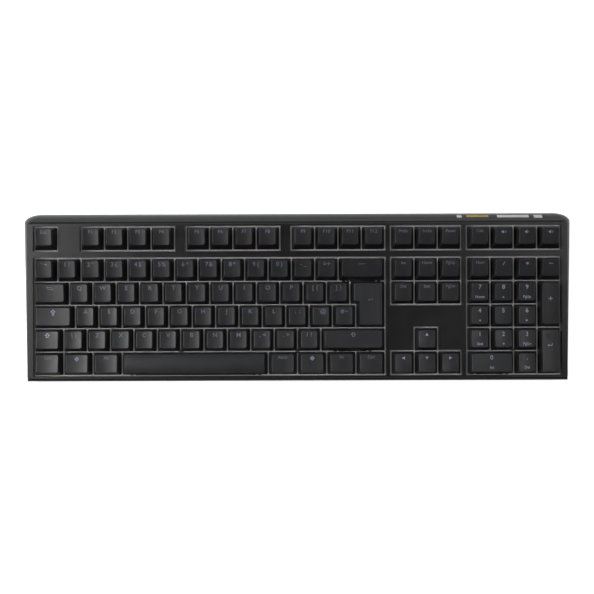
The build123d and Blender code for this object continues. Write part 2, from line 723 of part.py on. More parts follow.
SEAT_INSET = 0.15            # the bezel overhangs its seat on the shell by this much
SEAT_HALF_X = BEZEL_HALF_X - SEAT_INSET
SEAT_FRONT = deck_point(BEZEL_FRONT + SEAT_INSET, BEZEL_BOTTOM)
SEAT_REAR = deck_point(BEZEL_REAR - SEAT_INSET, BEZEL_BOTTOM)
SEAT_CORNER = (1.5, 1.5)
PARTING_FRONT = (-68.6, 15.4)
PARTING_REAR = (68.6, 21.0)
PARTING_HALF_FRONT = 220.8
PARTING_HALF_REAR = 225.0
PARTING_CORNER = (14.0, 7.0)
PARTING_RING = (PARTING_FRONT, PARTING_REAR, PARTING_HALF_FRONT, PARTING_HALF_REAR, PARTING_CORNER)
FLOOR_FRONT = (-68.2, FLOOR_BOTTOM)
FLOOR_REAR = (67.2, FLOOR_BOTTOM)
FLOOR_HALF_FRONT = 218.0
FLOOR_HALF_REAR = 221.5
FLOOR_CORNER = (13.0, 6.6)
SLOPE_STEPS = 5
SLOPE_FULLNESS = 1.35        # 1 is a flat slope, 2 a quarter of an ellipse


def blend(start, end, share):
    """Value part of the way from start to end."""
    return start + (end - start) * share


def slope_ring(share):
    """Ring of the shell's rounded slope: 0 at the bezel's seat, 1 at the parting line."""
    drop = 1 - (1 - share**SLOPE_FULLNESS) ** (1 / SLOPE_FULLNESS)
    front = (blend(SEAT_FRONT[0], PARTING_FRONT[0], share), blend(SEAT_FRONT[1], PARTING_FRONT[1], drop))
    rear = (blend(SEAT_REAR[0], PARTING_REAR[0], share), blend(SEAT_REAR[1], PARTING_REAR[1], drop))
    half_front = blend(SEAT_HALF_X, PARTING_HALF_FRONT, share)
    half_rear = blend(SEAT_HALF_X, PARTING_HALF_REAR, share)
    across = blend(SEAT_CORNER[0], PARTING_CORNER[0], share)
    along = blend(SEAT_CORNER[1], PARTING_CORNER[1], share)
    return front, rear, half_front, half_rear, (across, along)


shell_rings = [slope_ring(1 - step / SLOPE_STEPS) for step in range(SLOPE_STEPS + 1)]
with BuildPart() as outer_shell:
    loft([case_section(*ring) for ring in shell_rings], ruled=True)
    inner_rings = [case_section(*ring, SIDE_WALL, FRONT_WALL) for ring in shell_rings]
    loft(inner_rings, ruled=True, mode=Mode.SUBTRACT)
    # room for the walls of the key wells
    well_reach = WELL_MARGIN + WELL_WALL + WELL_CLEARANCE
    with BuildSketch(DECK.offset(WELL_WALL_BOTTOM - WELL_CLEARANCE)):
        Rectangle(2 * (FIELD_HALF_X + well_reach), 2 * (FIELD_HALF_Y + well_reach))
    extrude(amount=BEZEL_BOTTOM - WELL_WALL_BOTTOM + WELL_CLEARANCE, mode=Mode.SUBTRACT)
export_piece(outer_shell.part, "outer_shell")


def foot_block(side):
    """Middle of a folding foot's housing in plan."""
    return side * FOOT_X, FOOT_PIVOT_Y + 2.8 - 9.6


RUBBER_PADS = [(-165.0, -57.0, 40.0), (0.0, -57.0, 40.0), (165.0, -57.0, 40.0)]
RUBBER_PADS += [(-205.0, 55.0, 22.0), (205.0, 55.0, 22.0), (0.0, 57.0, 30.0)]
PAD_DEPTH = 9.0
PAD_SEAT = 0.5

# the lower edge is bevelled all round
HEEL = 0.8
heel_front = (FLOOR_FRONT[0] + HEEL, FLOOR_BOTTOM)
heel_rear = (FLOOR_REAR[0] - HEEL, FLOOR_BOTTOM)
low_front = (FLOOR_FRONT[0], FLOOR_BOTTOM + HEEL)
low_rear = (FLOOR_REAR[0], FLOOR_BOTTOM + HEEL)
case_rings = [
    (heel_front, heel_rear, FLOOR_HALF_FRONT - HEEL, FLOOR_HALF_REAR - HEEL, FLOOR_CORNER),
    (low_front, low_rear, FLOOR_HALF_FRONT, FLOOR_HALF_REAR, FLOOR_CORNER),
    PARTING_RING,
]
with BuildPart() as bottom_case:
    loft([case_section(*ring) for ring in case_rings], ruled=True)
    inner_floor = (FLOOR_FRONT[0], FLOOR_BOTTOM + FLOOR_THICKNESS)
    inner_rear = (FLOOR_REAR[0], FLOOR_BOTTOM + FLOOR_THICKNESS)
    cavity = [
        case_section(
            inner_floor,
            inner_rear,
            FLOOR_HALF_FRONT,
            FLOOR_HALF_REAR,
            FLOOR_CORNER,
            SIDE_WALL,
            1.6,
        ),
        case_section(*PARTING_RING, SIDE_WALL, FRONT_WALL),
    ]
    loft(cavity, ruled=True, mode=Mode.SUBTRACT)
    # screw posts rise square to the deck, from the floor to the switch plate
    for x, y in SCREW_PLACES:
        post_top = DECK.offset(-PLATE_THICKNESS)
        length = (DECK_HEIGHT + y * TILT_SIN - FLOOR_BOTTOM) / TILT_COS - PLATE_THICKNESS - 0.9
        with BuildSketch(post_top):
            with Locations((x, y)):
                Circle(POST_OUTER / 2)
        extrude(amount=-length)
        with BuildSketch(post_top):
            with Locations((x, y)):
                Circle(SCREW_DIAMETER / 2 + 0.08)
        extrude(amount=-SCREW_LENGTH, mode=Mode.SUBTRACT)
    # housings of the folding feet, open underneath
    with BuildSketch(Plane.XY.offset(FLOOR_BOTTOM + 0.5)):
        with Locations(foot_block(-1), foot_block(1)):
            Rectangle(TALL_FOOT_WIDTH + 8, 23.4)
    extrude(amount=5.8)
    with BuildSketch(Plane.XY.offset(FLOOR_BOTTOM)):
        with Locations(foot_block(-1), foot_block(1)):
            Rectangle(TALL_FOOT_WIDTH + 0.6, 19.2)
    extrude(amount=4.3, mode=Mode.SUBTRACT)
    for side in (-1, 1):
        with BuildSketch(Plane.YZ.offset(side * FOOT_X - TALL_FOOT_WIDTH / 2 - 2.3)):
            with Locations((FOOT_PIVOT_Y, FOOT_PIVOT_Z)):
                Circle(1.6)
        extrude(amount=TALL_FOOT_WIDTH + 4.6, mode=Mode.SUBTRACT)
    # shallow seats for the rubber feet
    for x, y, pad_width in RUBBER_PADS:
        with BuildSketch(Plane.XY.offset(FLOOR_BOTTOM)):
            with Locations((x, y)):
                RectangleRounded(pad_width, PAD_DEPTH, 2.0)
        extrude(amount=PAD_SEAT, mode=Mode.SUBTRACT)
    # cable opening in the rear wall
    usb_plane = Plane(origin=(USB_X, 60.9, 0), x_dir=(1, 0, 0), z_dir=(0, 1, 0))
    usb_height = deck_point(68.2, (BOARD_BOTTOM * 2 - 3.2) / 2)[1]
    with BuildSketch(usb_plane):
        with Locations((0, -usb_height)):
            RectangleRounded(12.4, 6.4, 1.5)
    extrude(amount=10.0, mode=Mode.SUBTRACT)
export_piece(bottom_case.part, "bottom_case")

with BuildPart() as case_pad:
    with BuildSketch(Plane.XY.offset(FLOOR_BOTTOM + FLOOR_THICKNESS)):
        with Locations((0, DECK_Y)):
            Rectangle(424.0, 114.0)
        with Locations(foot_block(-1), foot_block(1)):
            Rectangle(TALL_FOOT_WIDTH + 9, 25.0, mode=Mode.SUBTRACT)
        for x, y in SCREW_PLACES:
            base_height = FLOOR_BOTTOM + FLOOR_THICKNESS - DECK_HEIGHT
            depth = (base_height - y * TILT_SIN) / TILT_COS
            with Locations((x, DECK_Y + y * TILT_COS - depth * TILT_SIN)):
                Circle(POST_OUTER / 2 + 0.5, mode=Mode.SUBTRACT)
    extrude(amount=PAD_THICKNESS)
export_piece(case_pad.part, "case_pad")

with BuildPart() as rubber_feet:
    for x, y, pad_width in RUBBER_PADS:
        with BuildSketch(Plane.XY):
            with Locations((x, y)):
                RectangleRounded(pad_width, PAD_DEPTH, 2.0)
        extrude(amount=FLOOR_BOTTOM + PAD_SEAT)
    chamfer(rubber_feet.faces().group_by(Axis.Z)[0].edges(), 0.4)
export_piece(rubber_feet.part, "rubber_feet")

with BuildPart() as plate_screw:
    with BuildSketch(Plane.XY):
        Circle(SCREW_HEAD / 2)
    extrude(amount=SCREW_HEAD_HEIGHT)
    chamfer(plate_screw.faces().sort_by(Axis.Z)[-1].edges(), 0.3)
    with BuildSketch(Plane.XY.offset(SCREW_HEAD_HEIGHT)):
        Rectangle(2.0, 0.5)
        Rectangle(0.5, 2.0)
    extrude(amount=-0.7, mode=Mode.SUBTRACT)
    with BuildSketch(Plane.XY):
        Circle(SCREW_DIAMETER / 2)
    extrude(amount=-SCREW_LENGTH + 0.5)
screws = [plate_screw.part.moved(on_deck(x, y)) for x, y in SCREW_PLACES]
export_piece(copies("plate_screws", screws), "plate_screws")

with BuildPart() as usb_socket:
    with BuildSketch(Plane.XZ.offset(-60.6)):
        with Locations((0, BOARD_BOTTOM - 1.6)):
            SlotOverall(8.94, 3.16)
    extrude(amount=-7.6)
    with BuildSketch(Plane.XZ.offset(-68.2)):
        with Locations((0, BOARD_BOTTOM - 1.6)):
            SlotOverall(8.34, 2.56)
    extrude(amount=6.4, mode=Mode.SUBTRACT)
    with BuildSketch(Plane.XZ.offset(-61.4)):
        with Locations((0, BOARD_BOTTOM - 1.6)):
            Rectangle(6.6, 0.7)
    extrude(amount=-6.0)
export_piece(usb_socket.part.moved(on_deck(USB_X, 0)), "usb_socket")

# ---------------------------------------------------------------- folding feet

def foot_profile(length, radius):
    """Side view of a foot: a flat leg with a round hinge end, around the hinge line."""
    with BuildSketch(Plane.YZ) as profile:
        Circle(radius)
        with Locations((-length / 2, 0)):
            Rectangle(length, 2 * radius)
        fillet(profile.vertices().group_by(Axis.X)[0], 0.8)
    return profile.sketch


with BuildPart() as tall_foot:
    extrude(foot_profile(TALL_FOOT_LENGTH, 1.8), amount=TALL_FOOT_WIDTH / 2, both=True)
    with BuildSketch(Plane.XY.offset(-3)):
        with Locations((0, -12.0)):
            Rectangle(SHORT_FOOT_WIDTH + 0.6, 20.0, align=(Align.CENTER, Align.MIN))
    extrude(amount=6, mode=Mode.SUBTRACT)
    with BuildSketch(Plane.YZ):
        Circle(1.2)
    extrude(amount=SHORT_FOOT_WIDTH / 2 + 2.4, both=True, mode=Mode.SUBTRACT)
    for side in (-1, 1):
        with BuildSketch(Plane.YZ.offset(side * TALL_FOOT_WIDTH / 2)):
            Circle(1.5)
        extrude(amount=side * 2.0)

with BuildPart() as short_foot:
    extrude(foot_profile(SHORT_FOOT_LENGTH, 1.6), amount=SHORT_FOOT_WIDTH / 2, both=True)
    with BuildSketch(Plane.YZ):
        Circle(1.1)
    extrude(amount=SHORT_FOOT_WIDTH / 2 + 2.0, both=True)
    with BuildSketch(Plane.XY.offset(-1.6)):
        with Locations((0, -6.5)):
            Rectangle(10.0, 2.4)
    extrude(amount=0.6, mode=Mode.SUBTRACT)

for side, side_name in ((-1, "left"), (1, "right")):
    pivot = Location((side * FOOT_X, FOOT_PIVOT_Y, FOOT_PIVOT_Z))
    export_piece(tall_foot.part.moved(pivot), f"{side_name}_tall_foot")
    export_piece(short_foot.part.moved(pivot), f"{side_name}_short_foot")
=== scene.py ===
import json
import math
import bpy
import numpy as np
from mathutils import Matrix, Vector
from mathutils.bvhtree import BVHTree


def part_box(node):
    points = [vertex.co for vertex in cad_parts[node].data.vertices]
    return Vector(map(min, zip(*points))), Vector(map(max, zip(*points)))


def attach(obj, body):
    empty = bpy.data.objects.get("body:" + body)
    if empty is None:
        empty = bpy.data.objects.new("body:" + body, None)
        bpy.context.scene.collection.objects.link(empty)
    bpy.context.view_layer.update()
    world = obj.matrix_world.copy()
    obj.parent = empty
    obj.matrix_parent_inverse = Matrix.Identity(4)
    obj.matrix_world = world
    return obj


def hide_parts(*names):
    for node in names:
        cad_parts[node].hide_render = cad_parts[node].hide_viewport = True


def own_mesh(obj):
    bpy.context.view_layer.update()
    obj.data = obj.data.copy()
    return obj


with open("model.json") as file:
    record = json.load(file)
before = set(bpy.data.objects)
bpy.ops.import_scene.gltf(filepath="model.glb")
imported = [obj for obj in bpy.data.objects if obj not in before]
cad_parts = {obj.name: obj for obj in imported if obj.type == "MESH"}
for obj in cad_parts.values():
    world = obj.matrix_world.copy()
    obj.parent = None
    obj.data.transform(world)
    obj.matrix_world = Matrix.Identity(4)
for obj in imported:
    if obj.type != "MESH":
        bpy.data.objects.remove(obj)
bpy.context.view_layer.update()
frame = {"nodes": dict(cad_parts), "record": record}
nodes = frame["nodes"]
joints = {joint["name"]: joint for joint in frame["record"]["behaviour"]["joints"]}
MM = 0.001

# ------------------------------------------------------------ the tilted deck, read from the frame
PITCH = 19.05 * MM           # key spacing, across and in depth
ROWS = 6
FUNCTION_ROW = 5             # counted from 0 at the space bar
FUNCTION_GAP = 6.5 * MM      # extra space in front of the function row
CAP_INSET = 0.425 * MM       # half the gap between two keycaps
WIRE_AHEAD = 9.3 * MM        # the space bar's wire turns this far in front of its row's middle
WIRE_HEIGHT = 0.85 * MM      # and this far above the deck

down = Vector(joints["space_bar_press"]["axis"]).normalized()
up = -down
right = Vector((1, 0, 0))
rear = up.cross(right)
pivot = Vector(joints["space_bar_stabilizer_wire_turn"]["pos_m"])
FIELD_HALF_Y = (ROWS * PITCH + FUNCTION_GAP) / 2
FIELD_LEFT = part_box("escape_key")[0][0] - CAP_INSET
row_zero = PITCH / 2 - FIELD_HALF_Y
deck = pivot - up * WIRE_HEIGHT - rear * (row_zero - WIRE_AHEAD)
deck.x = 0.0


def place(x, y, height):
    """World point from deck coordinates."""
    return deck + right * x + rear * y + up * height


def runs(*spans):
    """Keys of one node: (row, left edge, count, width, depth) spans in key pitches."""
    keys = []
    for row, left, count, *size in spans:
        width, depth = (size + [1.0, 1.0])[:2]
        for index in range(count):
            low = row * PITCH + (FUNCTION_GAP if row == FUNCTION_ROW else 0) - FIELD_HALF_Y
            middle_x = FIELD_LEFT + (left + index * width + width / 2) * PITCH
            keys.append((middle_x, low + depth * PITCH / 2, width, depth))
    return keys


# ------------------------------------------------------------ glyphs, drawn about 1 unit high
def ring(outer, inner):
    """Outline band between two polygons with the same number of corners."""
    count = len(outer)
    faces = [(i, (i + 1) % count, count + (i + 1) % count, count + i) for i in range(count)]
    return outer + inner, faces


def shrink(points, amount):
    """Move the corners of a polygon inwards towards its middle."""
    middle_x = sum(p[0] for p in points) / len(points)
    middle_y = sum(p[1] for p in points) / len(points)
    return [(middle_x + (x - middle_x) * amount, middle_y + (y - middle_y) * amount)
            for x, y in points]


def merge(*shapes):
    """Join several (points, faces) shapes."""
    points, faces = [], []
    for shape_points, shape_faces in shapes:
        base = len(points)
        points += shape_points
        faces += [tuple(base + i for i in face) for face in shape_faces]
    return points, faces


def polygon(*points):
    """Shape of one flat face."""
    return list(points), [tuple(range(len(points)))]


def bar(x0, y0, x1, y1):
    """Upright rectangle between two corners."""
    return polygon((x0, y0), (x1, y0), (x1, y1), (x0, y1))


def turned(shape, quarter_turns):
    """Shape turned to the left about its middle."""
    points, faces = shape
    for _ in range(quarter_turns):
        points = [(-y, x) for x, y in points]
    return points, faces


ARROW = polygon((-0.42, -0.36), (0.42, -0.36), (0.0, 0.42))
LONG_LEFT = merge(polygon((-0.9, 0), (-0.5, -0.26), (-0.5, 0.26)), bar(-0.5, -0.07, 0.8, 0.07))
HALF_LEFT = merge(polygon((-0.85, 0.24), (-0.5, 0.02), (-0.5, 0.46)), bar(-0.5, 0.17, 0.6, 0.31),
                  bar(-1.0, 0.0, -0.88, 0.48))
TAB = merge(HALF_LEFT, turned(HALF_LEFT, 2))
RETURN = merge(polygon((-0.8, -0.15), (-0.4, -0.45), (-0.4, 0.15)), bar(-0.4, -0.21, 0.5, -0.09),
               bar(0.38, -0.09, 0.5, 0.4))
wide_arrow = [(0, 0.58), (0.6, -0.02), (0.26, -0.02), (0.26, -0.45), (-0.26, -0.45),
              (-0.26, -0.02), (-0.6, -0.02)]
narrow_arrow = [(0, 0.38), (0.27, 0.11), (0.13, 0.11), (0.13, -0.32), (-0.13, -0.32),
                (-0.13, 0.11), (-0.27, 0.11)]
SHIFT = ring(wide_arrow, narrow_arrow)
CAPS = merge(SHIFT, bar(-0.3, -0.74, 0.3, -0.6))
rhomb = [(0, 0.5), (0.5, 0), (0, -0.5), (-0.5, 0)]
DIAMOND = merge(ring(rhomb, shrink(rhomb, 0.62)), polygon(*shrink(rhomb, 0.34)))
MINUS = bar(-0.5, -0.08, 0.5, 0.08)
PLUS = merge(MINUS, bar(-0.08, 0.08, 0.08, 0.5), bar(-0.08, -0.5, 0.08, -0.08))
SPEAKER = polygon((-0.5, -0.15), (-0.28, -0.15), (0.02, -0.42), (0.02, 0.42),
                  (-0.28, 0.15), (-0.5, 0.15))


def wave(radius, stroke=0.07, reach=40, steps=8):
    """One arc of sound in front of the speaker."""
    angles = [math.radians(-reach + 2 * reach * i / steps) for i in range(steps + 1)]
    near = [(radius * math.cos(a), radius * math.sin(a)) for a in angles]
    far = [((radius + stroke) * math.cos(a), (radius + stroke) * math.sin(a)) for a in angles]
    count = len(angles)
    return near + far, [(i, i + 1, count + i + 1, count + i) for i in range(steps)]


MUTE = merge(SPEAKER, polygon((0.2, -0.2), (0.27, -0.25), (0.62, 0.2), (0.55, 0.25)),
             polygon((0.2, 0.2), (0.27, 0.25), (0.62, -0.2), (0.55, -0.25)))
LOUDER = merge(SPEAKER, wave(0.25), wave(0.45))
SOFTER = merge(SPEAKER, wave(0.25))


def slanted(angle, reach=0.42, half=0.06):
    """Thin bar through the middle, at an angle in degrees."""
    across, along = math.cos(math.radians(angle)), math.sin(math.radians(angle))
    ends = ((reach, half), (-reach, half), (-reach, -half), (reach, -half))
    return polygon(*((x * across - y * along, x * along + y * across) for x, y in ends))


STAR = merge(slanted(90), slanted(30), slanted(150))
SLASH = slanted(62)

FONT_SIZE = 1.4              # makes a capital letter about 1 unit high
FONT_BOLDER = 0.014          # thickens the strokes a little
glyphs = {}


def letters(text):
    """Outline of a word as a flat mesh, one capital letter high."""
    if text not in glyphs:
        curve = bpy.data.curves.new("word", "FONT")
        curve.body = text
        curve.align_x = "CENTER"
        curve.align_y = "CENTER"
        curve.size = FONT_SIZE
        curve.offset = FONT_BOLDER
        curve.resolution_u = 3
        word = bpy.data.objects.new("word", curve)
        bpy.context.scene.collection.objects.link(word)
        bpy.context.view_layer.update()
        mesh = word.evaluated_get(bpy.context.evaluated_depsgraph_get()).to_mesh()
        glyphs[text] = ([tuple(v.co[:2]) for v in mesh.vertices],
                        [tuple(p.vertices) for p in mesh.polygons])
        bpy.data.objects.remove(word)
    return glyphs[text]


# ------------------------------------------------------------ procedural materials
def remap(tree, source, start, end, low, high):
    """Map Range node from (start, end) to (low, high)."""
    node = tree.nodes.new("ShaderNodeMapRange")
    tree.links.new(source, node.inputs["Value"])
    node.inputs["From Min"].default_value = start
    node.inputs["From Max"].default_value = end
    node.inputs["To Min"].default_value = low
    node.inputs["To Max"].default_value = high
    return node.outputs["Result"]


def surface(name, color, rough=0.5, grain=2500, bump=0.1, vary=0.25, wear=0.1, metal=0.0,
            coat=0.0, sheen=0.0, glow=0.0, streak=False, clear=0.0):
    """Moulded, painted or metal surface with colour drift, fine grain, smudges and worn edges."""
    material = bpy.data.materials.new(name)
    material.use_nodes = True
    tree = material.node_tree
    shader = tree.nodes["Principled BSDF"]
    make, join = tree.nodes.new, tree.links.new
    coords = make("ShaderNodeTexCoord")
    stretch = make("ShaderNodeMapping")
    stretch.inputs["Scale"].default_value = (0.06, 1, 1) if streak else (1, 1, 1)
    join(coords.outputs["Object"], stretch.inputs["Vector"])

    def noise(scale, detail):
        texture = make("ShaderNodeTexNoise")
        texture.inputs["Scale"].default_value = scale
        texture.inputs["Detail"].default_value = detail
        join(stretch.outputs["Vector"], texture.inputs["Vector"])
        return texture.outputs["Fac"]

    def ramp(source, low, high, start=0.3, end=0.7):
        return remap(tree, source, start, end, low, high)

    def mix(factor, first, second):
        node = make("ShaderNodeMix")
        node.data_type = "RGBA"
        join(factor, node.inputs["Factor"])
        for source, socket in ((first, node.inputs[6]), (second, node.inputs[7])):
            if isinstance(source, tuple):
                socket.default_value = source
            else:
                join(source, socket)
        return node.outputs[2]

    dark = tuple(c * (1 - vary) for c in color) + (1,)
    light = tuple(min(1, c * (1 + vary)) for c in color) + (1,)
    drift = mix(ramp(noise(45, 4), 0, 1), dark, light)
    speckle = mix(ramp(noise(grain * 0.6, 2), 0, 0.35, 0.5, 0.75), drift, light)
    geometry = make("ShaderNodeNewGeometry")
    rubbed = tuple(min(1, c * 1.6 + 0.02) for c in color) + (1,)
    edge = ramp(geometry.outputs["Pointiness"], 0, wear, 0.5, 0.58)
    join(mix(edge, speckle, rubbed), shader.inputs["Base Color"])
    join(ramp(noise(110, 5), rough * 0.86, min(1, rough * 1.16)), shader.inputs["Roughness"])
    fine = make("ShaderNodeBump")
    fine.inputs["Strength"].default_value = bump
    fine.inputs["Distance"].default_value = 0.06 * MM
    join(noise(grain, 3), fine.inputs["Height"])
    join(fine.outputs["Normal"], shader.inputs["Normal"])
    shader.inputs["Metallic"].default_value = metal
    shader.inputs["Coat Weight"].default_value = coat
    shader.inputs["Coat Roughness"].default_value = 0.12
    shader.inputs["Sheen Weight"].default_value = sheen
    shader.inputs["Transmission Weight"].default_value = clear
    # glow is emission in the surface's own colour: an evenly bright floor, but painted light on the
    # plate, the legends and the print
    if glow:
        shader.inputs["Emission Color"].default_value = (*color, 1)
        shader.inputs["Emission Strength"].default_value = glow
    material.diffuse_color = (*color, 1)
    return material


# name, colour, roughness, grain, bump, colour drift, worn edges, metal
CAP = surface("keycap_plastic", (0.0205, 0.0208, 0.0232), 0.38, 5200, 0.22, 0.15, 0.35)
BEZEL = surface("bezel_plastic", (0.008, 0.0081, 0.009), 0.32, 4200, 0.16, 0.15, 0.3)
SHELL = surface("shell_plastic", (0.012, 0.0125, 0.014), 0.2, 2600, 0.05, 0.15, 0.3, coat=0.35)
CASE = surface("case_plastic", (0.014, 0.0145, 0.016), 0.48, 3400, 0.3, 0.15, 0.3)
# the white plate glows a little: painted light that brightens the narrow gaps between the keys,
# where the lamps barely reach
PLATE = surface("white_coated_plate", (0.85, 0.83, 0.8), 0.5, 1800, 0.25, 0.05, 0.2, glow=0.1)
STEM = surface("stem_plastic", (0.16, 0.045, 0.03), 0.35, 3000, 0.08, 0.1, 0.1)
NYLON = surface("switch_nylon", (0.03, 0.03, 0.033), 0.4, 3000, 0.15, 0.15, 0.2)
CLEAR = surface("clear_cover", (0.72, 0.74, 0.76), 0.22, 2500, 0.05, 0.05, 0.1, clear=0.55)
STEEL = surface("spring_steel", (0.66, 0.65, 0.62), 0.24, 3000, 0.12, 0.08, 0.2, 1.0, streak=True)
SCREW = surface("screw_steel", (0.3, 0.3, 0.31), 0.35, 2500, 0.2, 0.15, 0.5, 1.0)
RUBBER = surface("foot_rubber", (0.03, 0.03, 0.031), 0.78, 2200, 0.6, 0.2, 0.2, sheen=0.2)
FOAM = surface("plate_foam", (0.035, 0.035, 0.037), 0.9, 1500, 0.9, 0.3, 0.1, sheen=0.3)
SILICONE = surface("silicone_mat", (0.2, 0.21, 0.23), 0.6, 1500, 0.4, 0.12, 0.1)
BOARD = surface("board_mask", (0.01, 0.045, 0.025), 0.3, 1600, 0.3, 0.3, 0.2, coat=0.4)
LENS = surface("light_lens", (0.8, 0.78, 0.7), 0.2, 2500, 0.05, 0.05, 0.1, coat=0.5)
# the legends glow a little: painted glow that stands in for the key lights shining through them
LEGEND = surface("legend_resin", (0.13, 0.155, 0.2), 0.45, 4000, 0.1, 0.3, 0.1, glow=0.12)
CLEAR_LEGEND = surface("legend_resin_clear", (0.24, 0.28, 0.37), 0.45, 4000, 0.1, 0.2, 0.1, glow=0.2)
# the printed bars glow faintly: painted light that brightens the print on the dark rear slope
PRINT_WHITE = surface("print_white", (0.6, 0.6, 0.59), 0.5, 3000, 0.1, 0.1, 0.1, glow=0.08)
PRINT_YELLOW = surface("print_yellow", (0.5, 0.33, 0.06), 0.5, 3000, 0.1, 0.1, 0.1, glow=0.05)
FLOOR = surface("studio_floor", (0.92, 0.92, 0.92), 0.75, 400, 0.05, 0.01, 0.0, glow=0.8)

FINISH = {
    "bottom_case": CASE, "outer_shell": SHELL, "key_bezel": BEZEL, "switch_plate": PLATE,
    "plate_foam": FOAM, "case_pad": SILICONE, "circuit_board": BOARD, "switch_bases": NYLON,
    "switch_covers": CLEAR, "switch_sockets": NYLON, "key_lights": LENS,
    "stabilizer_housings": NYLON, "usb_socket": STEEL, "rubber_feet": RUBBER,
    "plate_screws": SCREW, "switch_springs": STEEL,
}


def dress(node, *materials):
    """Give a carried-over CAD node its materials."""
    slots = nodes[node].data.materials
    slots.clear()
    for material in materials:
        slots.append(material)


for node in nodes:
    if node.endswith("_wire"):
        dress(node, STEEL)
    elif node.endswith("_foot"):
        dress(node, CASE)
    elif node in FINISH:
        dress(node, FINISH[node])

# ------------------------------------------------------------ keys: cells and legends
# a legend is a list of (shape, x, y, size), measured from the middle of its key
LETTER = 3.5 * MM
FUNCTION = 2.9 * MM
SMALL = 2.4 * MM
LINE = 4.2 * MM              # legends stand this far behind the key's middle
WORD_LINE = LINE + 0.8 * MM
FRONT_LINE = -3.7 * MM       # second meanings on the number pad


def single(text):
    """One letter."""
    return [(letters(text), 0, LINE, LETTER)]


def word(text, size=SMALL):
    """Short word in small letters."""
    return [(letters(text), 0, WORD_LINE, size)]


def pair(first, second):
    """Two characters side by side."""
    return [(letters(first), -1.6 * MM, LINE, LETTER), (letters(second), 1.7 * MM, LINE, LETTER)]


def icon(shape, size=3.0, line=LINE):
    """Drawn sign, with its size in millimetres."""
    return [(shape, 0, line, size * MM)]


def over(top, below):
    """Number pad legend: a digit with its second meaning in front of it."""
    if isinstance(below, str):
        lower = (letters(below), 0, FRONT_LINE, SMALL * 0.9)
    else:
        lower = (below, 0, FRONT_LINE, 2 * MM)
    return [(letters(top), 0, LINE, LETTER), lower]


numbers = [pair(*two) for two in ("`¬", "1!", "2\"", "3£", "4$", "5%", "6^", "7&", "8*", "9(",
                                  "0)", "-_", "=+")]
top_letters = [single(c) for c in "QWERTYUIOP"] + [pair("[", "{"), pair("]", "}")]
home_letters = [single(c) for c in "ASDFGHJKL"] + [pair(";", ":"), pair("'", "@"), pair("#", "~")]
bottom_letters = ([pair("\\", "|")] + [single(c) for c in "ZXCVBNM"]
                  + [pair(",", "<"), pair(".", ">"), pair("/", "?")])
media_signs = [word("Calc"), icon(MUTE, 3.6), icon(SOFTER, 3.6), icon(LOUDER, 3.6)]
navigation = [word(text) for text in ("Ins", "Home", "PgUp", "Del", "End", "PgDn")]
number_pad = [word("Num"), icon(SLASH, 3.6), icon(STAR), icon(MINUS, 3.3),
              over("7", "Home"), over("8", ARROW), over("9", "PgUp"),
              over("4", turned(ARROW, 1)), single("5"), over("6", turned(ARROW, 3)),
              over("1", "End"), over("2", turned(ARROW, 2)), over("3", "PgDn"), over(".", "Del")]

